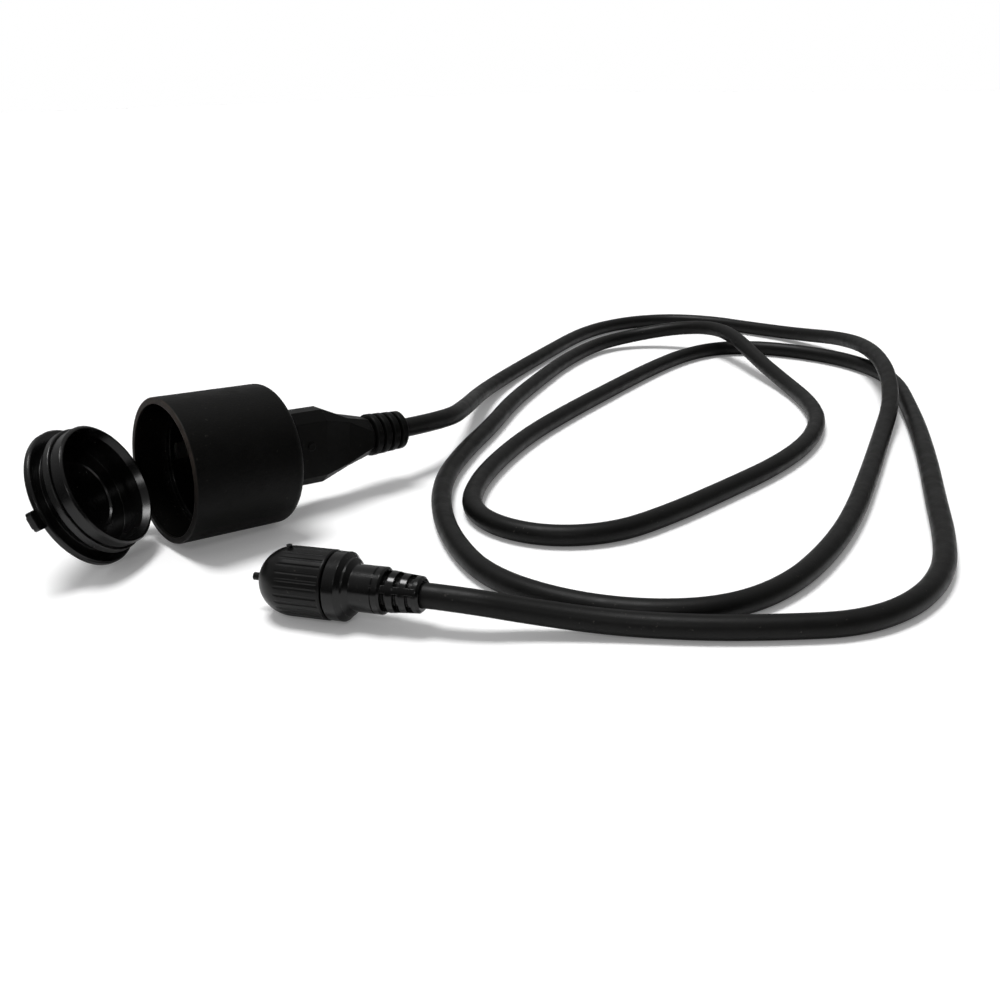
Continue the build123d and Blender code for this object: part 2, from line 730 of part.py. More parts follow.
# Cord: straight runs and tangent bends from inside the grip to inside the connector
cord_points = [inward * cord_start, inward * (boot_end + cord_lead_out)]
for x, y, height in cord_route:
    cord_points.append(Vector(x, y, floor_level + height))
cord_points.append(cap_rear + forward * (relief_end + cord_anchor - cord_end_run))
cord_points.append(cap_rear + forward * (relief_end + cord_anchor))
runs = [after - before for before, after in zip(cord_points, cord_points[1:])]
bend_radii = []
for before, after in zip(runs, runs[1:]):
    half_turn = radians(before.get_angle(after)) / 2
    bend_radii.append(bend_share * min(before.length, after.length) / tan(half_turn))
with BuildPart() as cord:
    with BuildLine():
        cord_line = FilletPolyline(*cord_points, radius=bend_radii)
    with BuildSketch(Plane(origin=cord_line @ 0, z_dir=cord_line % 0)):
        Circle(cord_radius)
    sweep(path=cord_line)
save(cord, "cord")

section_area = pi * cord_radius**2
print("bend radii", sorted(round(radius, 1) for radius in bend_radii)[:12])
print("cord length", round(cord_line.length, 1), "runs", round(min(run.length for run in runs), 1),
      round(max(run.length for run in runs), 1))
print("cord volume over section times length", round(cord.part.volume / (section_area * cord_line.length), 4))
print("floor level", round(floor_level, 3), "lowest lid point", round(lid.part.bounding_box().min.Z, 3))
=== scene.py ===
"""Socket extension cord, dressed for rendering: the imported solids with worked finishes, the cord as one
smooth line, and a plain pale stage seen from the photograph's viewpoint."""
from math import cos, radians, sin

import bpy
import numpy as np
from bpy.props import FloatProperty, FloatVectorProperty, IntProperty, PointerProperty
from mathutils import Matrix, Vector


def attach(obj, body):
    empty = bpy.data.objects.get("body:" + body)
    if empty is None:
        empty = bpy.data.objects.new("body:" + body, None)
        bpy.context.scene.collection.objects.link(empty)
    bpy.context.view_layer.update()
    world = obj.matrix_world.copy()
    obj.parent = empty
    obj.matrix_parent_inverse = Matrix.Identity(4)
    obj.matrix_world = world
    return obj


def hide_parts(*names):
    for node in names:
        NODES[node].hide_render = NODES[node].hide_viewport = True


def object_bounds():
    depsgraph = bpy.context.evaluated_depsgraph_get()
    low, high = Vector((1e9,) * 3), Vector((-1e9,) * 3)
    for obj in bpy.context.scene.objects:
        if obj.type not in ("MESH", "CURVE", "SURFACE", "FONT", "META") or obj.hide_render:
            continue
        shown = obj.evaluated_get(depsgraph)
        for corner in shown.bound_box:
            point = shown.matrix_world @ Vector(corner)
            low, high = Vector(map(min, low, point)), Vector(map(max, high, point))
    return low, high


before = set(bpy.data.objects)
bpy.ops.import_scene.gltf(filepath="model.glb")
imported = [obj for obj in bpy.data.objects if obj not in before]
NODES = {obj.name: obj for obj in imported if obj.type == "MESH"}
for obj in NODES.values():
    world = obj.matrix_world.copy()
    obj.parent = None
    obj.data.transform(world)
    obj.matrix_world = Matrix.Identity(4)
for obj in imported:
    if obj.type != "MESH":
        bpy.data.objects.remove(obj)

bl_info = {
    "name": "Socket extension cord",
    "version": (1, 0, 0),
    "blender": (4, 5, 0),
    "location": "View3D > Sidebar > Socket cord",
    "description": "Dresses the packed socket extension cord and sets its stage",
    "category": "Object",
}

CAD_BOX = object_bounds()
FLOOR = CAD_BOX[0][2]
SOCKET_AXIS = (0.9975641, 0.0, -0.0697565)

# Camera: width of its frame in millimetres, and its nearest sight in metres
SENSOR_WIDTH = 36.0
NEAREST_SIGHT = 0.01

# Floor: half its side and its drop below the part in metres, its sheen, and the share of its colour that
# reflections show far from the part
FLOOR_HALF_SIDE = 6.0
FLOOR_DROP = 0.0002
FLOOR_ROUGHNESS = 0.9
FLOOR_SPECULAR = 0.1
FAR_FLOOR_SHARE = 0.08

# Sky: closeness to its direction, as a cosine, at which it is darkest and brightest
SKY_BLEND = (-0.2, 0.8)

# Cord curve: steps along each span, and order of the line
CORD_STEPS = 8
CORD_ORDER = 3

# Noise scales, in waves per metre
FILM_SCALE = 55.0
SPECK_SCALE = 900.0
SPECK_PATCH_SCALE = 130.0
WEAR_SCALE = 260.0
BLOTCH_SCALE = 210.0
BRUSH_SCALE = 700.0

# Noise levels between which a mask rises from 0 to 1
FILM_LEVELS = (0.42, 0.78)
SPECK_LEVELS = (0.66, 0.76)
SPECK_PATCH_LEVELS = (0.40, 0.66)
WEAR_LEVELS = (0.35, 0.65)
BLOTCH_LEVELS = (0.25, 0.62)

# Moulded grain: scale and height of the coarse noise against the fine one, levels of the coarse noise that
# span the range of roughness, and depth of the bump in metres
COARSE_SCALE_SHARE = 0.12
COARSE_HEIGHT_SHARE = 0.5
GRAIN_TONES = (0.3, 0.7)
BUMP_DISTANCE = 0.0002

# Worn edges: turn of the normal, as one less its cosine, where wear starts and is full, and samples of the
# rounding
EDGE_TURN = (0.02, 0.22)
ROUNDING_SAMPLES = 6

# Roughness that full dust adds
DUST_ROUGHNESS = 0.35

# Rim of the cup, a brownish worn face that is partly painted highlight: depths where it fades, heights
# where its painted highlight grows towards the top, in metres, and its least shares
RIM_DEPTH = (0.00005, 0.0005)
RIM_HIGHLIGHT_HEIGHT = (-0.01, 0.022)
RIM_LEAST_BLOTCH = 0.5
RIM_LEAST_UNLIT = 0.1

# Inside of the cup: its radius and the depths where it starts, in metres, and its roughness
INSIDE_RADIUS = 0.0236
INSIDE_DEPTH = (0.0006, 0.0012)
INSIDE_ROUGHNESS = 0.24

# Metals: share of the colour in the darkest brush marks
BRUSH_SHADE = 0.75

# Cord route in metres: place on the floor, and height of the middle above it
CORD_ROUTE = (
    (0.07562, 0.0, 0.02227), (0.12001, 0.0, 0.01916), (0.1535, 0.0275, 0.013),
    (0.1875, 0.059, 0.006), (0.2265, 0.082, 0.00375), (0.271, 0.102, 0.00375),
    (0.3195, 0.123, 0.00375), (0.3535, 0.126, 0.00375), (0.381, 0.115, 0.00375),
    (0.397, 0.0905, 0.00375), (0.4005, 0.0585, 0.00375), (0.402, 0.0265, 0.0048),
    (0.3925, -0.0065, 0.0095), (0.367, -0.039, 0.014), (0.335, -0.0685, 0.014),
    (0.3035, -0.0905, 0.0085), (0.2685, -0.107, 0.00375), (0.228, -0.127, 0.00375),
    (0.186, -0.147, 0.00375), (0.1525, -0.1595, 0.00375), (0.1205, -0.1665, 0.00375),
    (0.0955, -0.1635, 0.00375), (0.076, -0.149, 0.00375), (0.063, -0.1275, 0.00375),
    (0.058, -0.101, 0.00375), (0.065, -0.0755, 0.00375), (0.08, -0.047, 0.00375),
    (0.1025, -0.0195, 0.00375), (0.1305, 0.0015, 0.00375), (0.16, 0.0195, 0.00375),
    (0.192, 0.042, 0.00375), (0.2265, 0.0615, 0.00375), (0.2655, 0.082, 0.00375),
    (0.303, 0.0945, 0.0045), (0.327, 0.0895, 0.0065), (0.3435, 0.0715, 0.011),
    (0.3475, 0.048, 0.0145), (0.338, 0.0245, 0.0145), (0.3235, -0.0025, 0.0085),
    (0.309, -0.0305, 0.0042), (0.2915, -0.055, 0.00375), (0.27, -0.0755, 0.00375),
    (0.2405, -0.0905, 0.00375), (0.2075, -0.0985, 0.00375), (0.1725, -0.1015, 0.00375),
    (0.1385, -0.1035, 0.00375), (0.1125, -0.102, 0.00375), (0.094, -0.0895, 0.00375),
    (0.0865, -0.07, 0.00375), (0.091, -0.05, 0.00375), (0.108, -0.033, 0.00375),
    (0.1325, -0.017, 0.00375), (0.1655, -0.0005, 0.00375), (0.204, 0.013, 0.00375),
    (0.243, 0.025, 0.00375), (0.283, 0.037, 0.00375), (0.3195, 0.045, 0.00375),
    (0.3455, 0.0425, 0.00375), (0.363, 0.027, 0.00375), (0.3715, 0.002, 0.00375),
    (0.3725, -0.023, 0.00375), (0.364, -0.048, 0.00375), (0.346, -0.069, 0.00375),
    (0.3195, -0.0895, 0.00375), (0.2915, -0.1105, 0.00375), (0.253, -0.137, 0.00375),
    (0.2165, -0.1605, 0.00375), (0.1895, -0.1785, 0.00375), (0.1645, -0.1925, 0.00375),
    (0.139, -0.1985, 0.00375), (0.1155, -0.195, 0.00375), (0.0965, -0.1805, 0.00375),
    (0.0795, -0.165, 0.00375), (0.063, -0.1465, 0.0042), (0.0465, -0.13, 0.0075),
    (0.03134, -0.11726, 0.01184), (0.02085, -0.09908, 0.01129),
)


def colour_setting(name, description, default):
    """A setting that is a colour."""
    return FloatVectorProperty(name=name, description=description, default=default, subtype="COLOR",
                               min=0.0, max=1.0)


def length_setting(name, description, default, least, most, precision=3):
    """A setting that is a length in metres."""
    return FloatProperty(name=name, description=description, default=default, min=least, max=most,
                         subtype="DISTANCE", unit="LENGTH", precision=precision)


def place_setting(name, description, default):
    """A setting that is a place in metres."""
    return FloatVectorProperty(name=name, description=description, default=default, subtype="TRANSLATION",
                               unit="LENGTH")


def direction_setting(name, description, default):
    """A setting that is a direction."""
    return FloatVectorProperty(name=name, description=description, default=default, subtype="DIRECTION")


def angle_setting(name, description, degrees):
    """A setting that is an angle."""
    return FloatProperty(name=name, description=description, default=radians(degrees), subtype="ANGLE")


def amount_setting(name, description, default, least, most):
    """A setting that is a plain number."""
    return FloatProperty(name=name, description=description, default=default, min=least, max=most)


class StageSettings(bpy.types.PropertyGroup):
    """Camera, floor and lamps"""
    focal_length: amount_setting("Focal length", "Lens of the camera, in millimetres", 39.75, 10.0, 200.0)
    camera_place: place_setting("Camera place", "Camera above the floor, in the part's frame",
                                (-0.1408, -0.33912, 0.1502))
    camera_heading: angle_setting("Heading", "Turn of the view from +Y towards +X", 40.42)
    camera_pitch: angle_setting("Pitch", "How far the camera looks down", 21.19)
    camera_roll: angle_setting("Roll", "How far the right of the picture is raised", 1.21)
    floor_colour: colour_setting("Floor", "Colour of the floor", (0.92, 0.92, 0.92))
    floor_lift: amount_setting("Floor lift", "Brightness that the floor shows to the camera alone",
                               0.13, 0.0, 1.0)
    floor_near: length_setting("White as far as", "Reach of the white floor in reflections", 0.03, 0.0, 5.0)
    floor_far: length_setting("Dim from", "Distance at which reflections show a dim floor", 0.3, 0.01, 5.0)
    sky_strength: amount_setting("Sky", "Strength of the sky on its bright side", 0.42, 0.0, 3.0)
    sky_shade: amount_setting("Sky shade", "Strength of the sky on its dark side, by the camera",
                              0.06, 0.0, 3.0)
    sky_direction: direction_setting("Sky direction", "From the part towards the bright side",
                                     (0.1, 0.5, 0.86))
    key_strength: amount_setting("Key lamp", "Strength of the wide lamp overhead", 2.35, 0.0, 20.0)
    key_direction: direction_setting("Key direction", "From the part towards the key lamp",
                                     (-0.08, 0.17, 0.98))
    key_width: angle_setting("Key width", "Angle that the key lamp covers; wider is softer", 22.0)
    window_power: amount_setting("Window", "Power of the small window by the camera, in watts",
                                 0.5, 0.0, 20.0)
    window_size: length_setting("Window size", "Side of the square window", 0.13, 0.02, 1.0)
    window_place: place_setting("Window place", "Window above the floor, in the part's frame",
                                (-0.33, -0.46, 0.38))
    window_target: place_setting("Window target", "Point above the floor that it faces",
                                 (0.02, -0.05, 0.02))


class CordSettings(bpy.types.PropertyGroup):
    """Thickness and rounding of the cord"""
    diameter: length_setting("Diameter", "Outside diameter of the cord", 0.0075, 0.002, 0.02, precision=4)
    rounding: IntProperty(name="Rounding", description="Steps round a quarter of the cord", default=7,
                          min=2, max=16)


class FinishSettings(bpy.types.PropertyGroup):
    """Colours of the finishes"""
    shell: colour_setting("Shell", "Matte black of the cup", (0.0023, 0.0023, 0.0021))
    # The rim colour is partly the rim's brownish wear and partly painted highlight where light catches the
    # rim
    rim: colour_setting("Rim", "Worn brownish face of the cup's rim", (0.042, 0.034, 0.029))
    gloss: colour_setting("Gloss", "Glossy black of the lid and the connector", (0.0016, 0.0016, 0.0016))
    rubber: colour_setting("Rubber", "Black of the cord, grip and seals", (0.0026, 0.0026, 0.0024))
    dust: colour_setting("Dust", "Pale dust and scuffs", (0.1, 0.093, 0.083))
    worn: colour_setting("Worn edge", "Tone of rubbed edges", (0.022, 0.021, 0.02))


def settings():
    """The scene's settings: stage, cord and finish."""
    return bpy.context.scene.socket_cord


def join(tree, source, target):
    """Links an output socket to an input socket."""
    tree.links.new(source, target)


def feed(tree, value, target):
    """Links a socket to an input, or sets the input to a number or a triple."""
    if isinstance(value, bpy.types.NodeSocket):
        join(tree, value, target)
    else:
        target.default_value = value


def new_group(name, inputs, outputs):
    """An empty shader node group and its two end nodes; sockets named Vector or Normal hold vectors."""
    group = bpy.data.node_groups.new(name, "ShaderNodeTree")
    for side, labels in (("INPUT", inputs), ("OUTPUT", outputs)):
        for label in labels:
            kind = "NodeSocketVector" if label in ("Vector", "Normal") else "NodeSocketFloat"
            group.interface.new_socket(name=label, in_out=side, socket_type=kind)
    return group, group.nodes.new("NodeGroupInput"), group.nodes.new("NodeGroupOutput")


def new_material(name):
    """A material, its node tree and its shader."""
    material = bpy.data.materials.new(name)
    material.use_nodes = True
    return material, material.node_tree, material.node_tree.nodes["Principled BSDF"]


def add_object(scene, name, data):
    """An object that holds the data, linked to the scene."""
    holder = bpy.data.objects.new(name, data)
    scene.collection.objects.link(holder)
    return holder


def object_place(tree):
    """The place on the piece, as a vector socket."""
    return tree.nodes.new("ShaderNodeTexCoord").outputs["Object"]


def math_node(tree, operation, first, second=None, clamp=False):
    """A math node on sockets or numbers; gives its output socket."""
    node = tree.nodes.new("ShaderNodeMath")
    node.operation = operation
    node.use_clamp = clamp
    feed(tree, first, node.inputs[0])
    if second is not None:
        feed(tree, second, node.inputs[1])
    return node.outputs[0]


def vector_value(tree, operation, first, second):
    """A vector math node on sockets or triples; gives the number that it works out."""
    node = tree.nodes.new("ShaderNodeVectorMath")
    node.operation = operation
    feed(tree, first, node.inputs[0])
    feed(tree, second, node.inputs[1])
    return node.outputs["Value"]


def noise_node(tree, vector, scale, detail=3.0, rough=0.55):
    """A noise texture on a vector socket; scale is a number or a socket."""
    node = tree.nodes.new("ShaderNodeTexNoise")
    node.inputs["Detail"].default_value = detail
    node.inputs["Roughness"].default_value = rough
    feed(tree, scale, node.inputs["Scale"])
    join(tree, vector, node.inputs["Vector"])
    return node.outputs["Fac"]


def ramp(tree, value, limits, results=(0.0, 1.0), shape="SMOOTHSTEP"):
    """Maps a value from its limits to the results, clamped."""
    node = tree.nodes.new("ShaderNodeMapRange")
    node.interpolation_type = shape
    for label, number in zip(("From Min", "From Max", "To Min", "To Max"), (*limits, *results)):
        node.inputs[label].default_value = number
    join(tree, value, node.inputs["Value"])
    return node.outputs["Result"]


def at_least(tree, mask, least):
    """Lifts a mask so that it runs from the least share to 1."""
    return math_node(tree, "ADD", math_node(tree, "MULTIPLY", mask, 1.0 - least), least)


def dust_group():
    """Dust: a soft film where a coarse noise is high, and small sharp specks where a fine one peaks."""
    if "Dust and scuffs" in bpy.data.node_groups:
        return bpy.data.node_groups["Dust and scuffs"]
    group, start, end = new_group("Dust and scuffs", ("Vector", "Film", "Specks"), ("Mask", "Height"))
    place = start.outputs["Vector"]
    film = ramp(group, noise_node(group, place, FILM_SCALE, detail=5.0, rough=0.65), FILM_LEVELS)
    film = math_node(group, "MULTIPLY", film, start.outputs["Film"])
    speck = ramp(group, noise_node(group, place, SPECK_SCALE, detail=2.0, rough=0.5), SPECK_LEVELS)
    patch = noise_node(group, place, SPECK_PATCH_SCALE, detail=2.0, rough=0.5)
    patch = ramp(group, patch, SPECK_PATCH_LEVELS)
    speck = math_node(group, "MULTIPLY", speck, patch)
    speck = math_node(group, "MULTIPLY", speck, start.outputs["Specks"])
    join(group, math_node(group, "MAXIMUM", film, speck, clamp=True), end.inputs["Mask"])
    join(group, speck, end.inputs["Height"])
    return group


def grain_group():
    """Moulded grain: two noises, fine and coarse, added as a height, and the coarse one alone as tone."""
    if "Moulded grain" in bpy.data.node_groups:
        return bpy.data.node_groups["Moulded grain"]
    group, start, end = new_group("Moulded grain", ("Vector", "Scale"), ("Height", "Tone"))
    place = start.outputs["Vector"]
    fine = noise_node(group, place, start.outputs["Scale"], detail=2.0, rough=0.6)
    coarse_scale = math_node(group, "MULTIPLY", start.outputs["Scale"], COARSE_SCALE_SHARE)
    coarse = noise_node(group, place, coarse_scale)
    swell = math_node(group, "MULTIPLY", coarse, COARSE_HEIGHT_SHARE)
    join(group, math_node(group, "ADD", fine, swell), end.inputs["Height"])
    join(group, coarse, end.inputs["Tone"])
    return group


def edge_group():
    """Worn edges: the normal of a small rounding, and a mask of where it leaves the surface's own."""
    if "Worn edges" in bpy.data.node_groups:
        return bpy.data.node_groups["Worn edges"]
    group, start, end = new_group("Worn edges", ("Vector", "Radius"), ("Normal", "Mask"))
    rounding = group.nodes.new("ShaderNodeBevel")
    rounding.samples = ROUNDING_SAMPLES
    join(group, start.outputs["Radius"], rounding.inputs["Radius"])
    own = group.nodes.new("ShaderNodeNewGeometry").outputs["Normal"]
    turn = vector_value(group, "DOT_PRODUCT", rounding.outputs["Normal"], own)
    edge = ramp(group, math_node(group, "SUBTRACT", 1.0, turn), EDGE_TURN)
    patch = ramp(group, noise_node(group, start.outputs["Vector"], WEAR_SCALE, rough=0.6), WEAR_LEVELS)
    join(group, math_node(group, "MULTIPLY", edge, patch), end.inputs["Mask"])
    join(group, rounding.outputs["Normal"], end.inputs["Normal"])
    return group


def socket_group():
    """Place in the cup: depth behind the mouth along the tilted axis, and distance from that axis."""
    if "Place in the cup" in bpy.data.node_groups:
        return bpy.data.node_groups["Place in the cup"]
    group, start, end = new_group("Place in the cup", ("Vector",), ("Depth", "Radius"))
    depth = vector_value(group, "DOT_PRODUCT", start.outputs["Vector"], SOCKET_AXIS)
    foot = group.nodes.new("ShaderNodeVectorMath")
    foot.operation = "SCALE"
    foot.inputs[0].default_value = SOCKET_AXIS
    join(group, depth, foot.inputs["Scale"])
    away = vector_value(group, "DISTANCE", start.outputs["Vector"], foot.outputs["Vector"])
    join(group, depth, end.inputs["Depth"])
    join(group, away, end.inputs["Radius"])
    return group


def add_group(tree, group, place):
    """A group node fed with the place on the piece."""
    node = tree.nodes.new("ShaderNodeGroup")
    node.node_tree = group
    join(tree, place, node.inputs["Vector"])
    return node


def colour_mix(tree, mask, under, over):
    """Lays a colour over another by a mask; each colour is a triple or a socket."""
    mix = tree.nodes.new("ShaderNodeMix")
    mix.data_type = "RGBA"
    join(tree, mask, mix.inputs["Factor"])
    for label, colour in (("A", under), ("B", over)):
        if isinstance(colour, bpy.types.NodeSocket):
            join(tree, colour, mix.inputs[label])
        else:
            mix.inputs[label].default_value = (*colour, 1.0)
    return mix.outputs["Result"]


def finish(name, colour, *, rough, grain_scale, grain_depth, film, specks, wear=0.5, radius=0.0004,
           specular=0.5):
    """A moulded finish: base colour, then the worn tone on edges, then dust by its mask; roughness by the
    grain's tone, and grain as bump on the rounded normal."""
    material, tree, shader = new_material(name)
    place = object_place(tree)
    dust = add_group(tree, dust_group(), place)
    dust.inputs["Film"].default_value = film
    dust.inputs["Specks"].default_value = specks
    grain = add_group(tree, grain_group(), place)
    grain.inputs["Scale"].default_value = grain_scale
    edge = add_group(tree, edge_group(), place)
    edge.inputs["Radius"].default_value = radius
    rubbed = math_node(tree, "MULTIPLY", edge.outputs["Mask"], wear)
    base = colour_mix(tree, rubbed, colour, settings().finish.worn)
    base = colour_mix(tree, dust.outputs["Mask"], base, settings().finish.dust)
    join(tree, base, shader.inputs["Base Color"])
    sheen = ramp(tree, grain.outputs["Tone"], GRAIN_TONES, rough, "LINEAR")
    dull = math_node(tree, "MULTIPLY", dust.outputs["Mask"], DUST_ROUGHNESS)
    join(tree, math_node(tree, "ADD", sheen, dull, clamp=True), shader.inputs["Roughness"])
    bump = tree.nodes.new("ShaderNodeBump")
    bump.inputs["Strength"].default_value = grain_depth
    bump.inputs["Distance"].default_value = BUMP_DISTANCE
    height = math_node(tree, "ADD", grain.outputs["Height"], dust.outputs["Height"])
    join(tree, height, bump.inputs["Height"])
    join(tree, edge.outputs["Normal"], bump.inputs["Normal"])
    join(tree, bump.outputs["Normal"], shader.inputs["Normal"])
    shader.inputs["Specular IOR Level"].default_value = specular
    return material


def shell_finish():
    """The cup's finish: a brownish worn rim face with a painted highlight towards the top, and a smoother
    inside.
    """
    tone = settings().finish
    material = finish("shell grain", tone.shell, rough=(0.42, 0.54), grain_scale=1700.0, grain_depth=0.42,
                      film=0.01, specks=0.18, wear=0.3, specular=0.085)
    tree = material.node_tree
    shader = tree.nodes["Principled BSDF"]
    place = object_place(tree)
    cup = add_group(tree, socket_group(), place)
    face = math_node(tree, "SUBTRACT", 1.0, ramp(tree, cup.outputs["Depth"], RIM_DEPTH))
    blotch = ramp(tree, noise_node(tree, place, BLOTCH_SCALE, detail=4.0, rough=0.6), BLOTCH_LEVELS)
    face = math_node(tree, "MULTIPLY", face, at_least(tree, blotch, RIM_LEAST_BLOTCH))
    # Painted highlight: the rim's light tone grows towards the top, where light falls on it
    height = tree.nodes.new("ShaderNodeSeparateXYZ")
    join(tree, place, height.inputs["Vector"])
    upper = ramp(tree, height.outputs["Z"], RIM_HIGHLIGHT_HEIGHT)
    face = math_node(tree, "MULTIPLY", face, at_least(tree, upper, RIM_LEAST_UNLIT))
    under = shader.inputs["Base Color"].links[0].from_socket
    join(tree, colour_mix(tree, face, under, tone.rim), shader.inputs["Base Color"])
    inside = math_node(tree, "LESS_THAN", cup.outputs["Radius"], INSIDE_RADIUS)
    inside = math_node(tree, "MULTIPLY", inside, ramp(tree, cup.outputs["Depth"], INSIDE_DEPTH))
    rough = tree.nodes.new("ShaderNodeMix")
    rough.inputs["B"].default_value = INSIDE_ROUGHNESS
    join(tree, inside, rough.inputs["Factor"])
    join(tree, shader.inputs["Roughness"].links[0].from_socket, rough.inputs["A"])
    join(tree, rough.outputs["Result"], shader.inputs["Roughness"])
    return material


def metal(name, colour, rough):
    """A plain metal with a fine brushed tone."""
    material, tree, shader = new_material(name)
    tone = noise_node(tree, object_place(tree), BRUSH_SCALE, detail=4.0)
    join(tree, ramp(tree, tone, (0.0, 1.0), rough, "LINEAR"), shader.inputs["Roughness"])
    shade = [BRUSH_SHADE * part for part in colour]
    join(tree, colour_mix(tree, tone, shade, colour), shader.inputs["Base Color"])
    shader.inputs["Metallic"].default_value = 1.0
    return material


def dress(names, material):
    """Gives CAD nodes a material in every slot."""
    for name in names:
        node = NODES[name]
        if not node.material_slots:
            node.data.materials.append(material)
        for slot in node.material_slots:
            slot.material = material


class SOCKETCORD_OT_stage(bpy.types.Operator):
    """Sets the camera, the floor, the sky and the lamps"""
    bl_idname = "socketcord.stage"
    bl_label = "Stage"

    def execute(self, context):
        values = settings().stage
        scene = context.scene
        scene.view_settings.view_transform = "Standard"
        self.add_camera(scene, values)
        self.add_floor(scene, values)
        self.add_sky(scene, values)
        self.add_lamps(scene, values)
        return {"FINISHED"}

    def add_camera(self, scene, values):
        """Camera axes from heading, pitch and roll."""
        lens = bpy.data.cameras.new("photo_camera")
        lens.sensor_width = SENSOR_WIDTH
        lens.lens = values.focal_length
        lens.clip_start = NEAREST_SIGHT
        camera = add_object(scene, "photo_camera", lens)
        heading, pitch, roll = values.camera_heading, values.camera_pitch, values.camera_roll
        ahead = Vector((sin(heading) * cos(pitch), cos(heading) * cos(pitch), -sin(pitch)))
        level = Vector((cos(heading), -sin(heading), 0.0))
        rise = level.cross(ahead)
        right = level * cos(roll) - rise * sin(roll)
        top = rise * cos(roll) + level * sin(roll)
        turn = Matrix((right, top, -ahead)).transposed().to_4x4()
        place = Vector(values.camera_place) + Vector((0.0, 0.0, FLOOR))
        camera.matrix_world = Matrix.Translation(place) @ turn
        scene.camera = camera

    def add_floor(self, scene, values):
        """One wide level sheet just under the part. The camera sees it white, with a little lift, and
        reflections see it dim away from the part."""
        mesh = bpy.data.meshes.new("floor")
        corners = np.array([(-1, -1), (1, -1), (1, 1), (-1, 1)]) * FLOOR_HALF_SIDE
        mesh.from_pydata(np.c_[corners, np.full(4, FLOOR - FLOOR_DROP)].tolist(), [], [(0, 1, 2, 3)])
        floor = add_object(scene, "floor", mesh)
        material, tree, shader = new_material("pale floor")
        shader.inputs["Roughness"].default_value = FLOOR_ROUGHNESS
        shader.inputs["Specular IOR Level"].default_value = FLOOR_SPECULAR
        shader.inputs["Emission Color"].default_value = (1.0, 1.0, 1.0, 1.0)
        seen = tree.nodes.new("ShaderNodeLightPath").outputs["Is Camera Ray"]
        join(tree, math_node(tree, "MULTIPLY", seen, values.floor_lift), shader.inputs["Emission Strength"])
        place = tree.nodes.new("ShaderNodeSeparateXYZ")
        join(tree, object_place(tree), place.inputs["Vector"])
        past_box = []
        for axis, low, high in zip("XY", *CAD_BOX):
            off = math_node(tree, "SUBTRACT", place.outputs[axis], (low + high) / 2)
            off = math_node(tree, "SUBTRACT", math_node(tree, "ABSOLUTE", off), (high - low) / 2)
            past_box.append(math_node(tree, "MAXIMUM", off, 0.0))
        away = ramp(tree, math_node(tree, "ADD", *past_box), (values.floor_near, values.floor_far))
        white = math_node(tree, "MAXIMUM", math_node(tree, "SUBTRACT", 1.0, away), seen)
        dim = [FAR_FLOOR_SHARE * part for part in values.floor_colour]
        join(tree, colour_mix(tree, white, dim, values.floor_colour), shader.inputs["Base Color"])
        mesh.materials.append(material)

    def add_sky(self, scene, values):
        """A sky that is dim on the camera's side, and shows plain white to the camera itself."""
        world = bpy.data.worlds.new("white room")
        world.use_nodes = True
        tree = world.node_tree
        back = tree.nodes["Background"]
        ray = tree.nodes.new("ShaderNodeTexCoord").outputs["Generated"]
        side = vector_value(tree, "DOT_PRODUCT", ray, Vector(values.sky_direction).normalized())
        gain = values.sky_strength - values.sky_shade
        bright = math_node(tree, "MULTIPLY", ramp(tree, side, SKY_BLEND), gain)
        strength = tree.nodes.new("ShaderNodeMix")
        join(tree, math_node(tree, "ADD", bright, values.sky_shade), strength.inputs["A"])
        strength.inputs["B"].default_value = 1.0
        seen = tree.nodes.new("ShaderNodeLightPath").outputs["Is Camera Ray"]
        join(tree, seen, strength.inputs["Factor"])
        join(tree, strength.outputs["Result"], back.inputs["Strength"])
        back.inputs["Color"].default_value = (1.0, 1.0, 1.0, 1.0)
        scene.world = world

    def add_lamps(self, scene, values):
        """A wide sun overhead and a small window by the camera."""
        lamp = bpy.data.lights.new("key_lamp", "SUN")
        lamp.angle = values.key_width
        lamp.energy = values.key_strength
        key = add_object(scene, "key_lamp", lamp)
        key.rotation_euler = Vector(values.key_direction).to_track_quat("Z", "Y").to_euler()
        pane = bpy.data.lights.new("window", "AREA")
        pane.size = values.window_size
        pane.energy = values.window_power
        window = add_object(scene, "window", pane)
        place = Vector(values.window_place)
        window.location = place + Vector((0.0, 0.0, FLOOR))
        window.rotation_euler = (place - Vector(values.window_target)).to_track_quat("Z", "Y").to_euler()


class SOCKETCORD_OT_cord(bpy.types.Operator):
    """Lays the cord as one smooth line along its route"""
    bl_idname = "socketcord.cord"
    bl_label = "Cord"

    def execute(self, context):
        values = settings().cord
        curve = bpy.data.curves.new("cord_line", "CURVE")
        curve.dimensions = "3D"
        curve.resolution_u = CORD_STEPS
        curve.bevel_depth = values.diameter / 2
        curve.bevel_resolution = values.rounding
        curve.use_fill_caps = True
        points = np.array(CORD_ROUTE) + (0.0, 0.0, FLOOR)
        weighted = np.c_[points, np.ones(len(points))].astype(np.float32)
        spline = curve.splines.new("NURBS")
        spline.points.add(len(points) - 1)
        spline.points.foreach_set("co", weighted.ravel())
        spline.order_u = CORD_ORDER
        spline.use_endpoint_u = True
        cord = add_object(context.scene, "rubber_cord", curve)
        rubber = finish("cord rubber", settings().finish.rubber, rough=(0.4, 0.52), grain_scale=1500.0,
                        grain_depth=0.2, film=0.014, specks=0.4, wear=0.0, specular=0.17)
        curve.materials.append(rubber)
        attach(cord, "socket")
        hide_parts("cord")
        return {"FINISHED"}


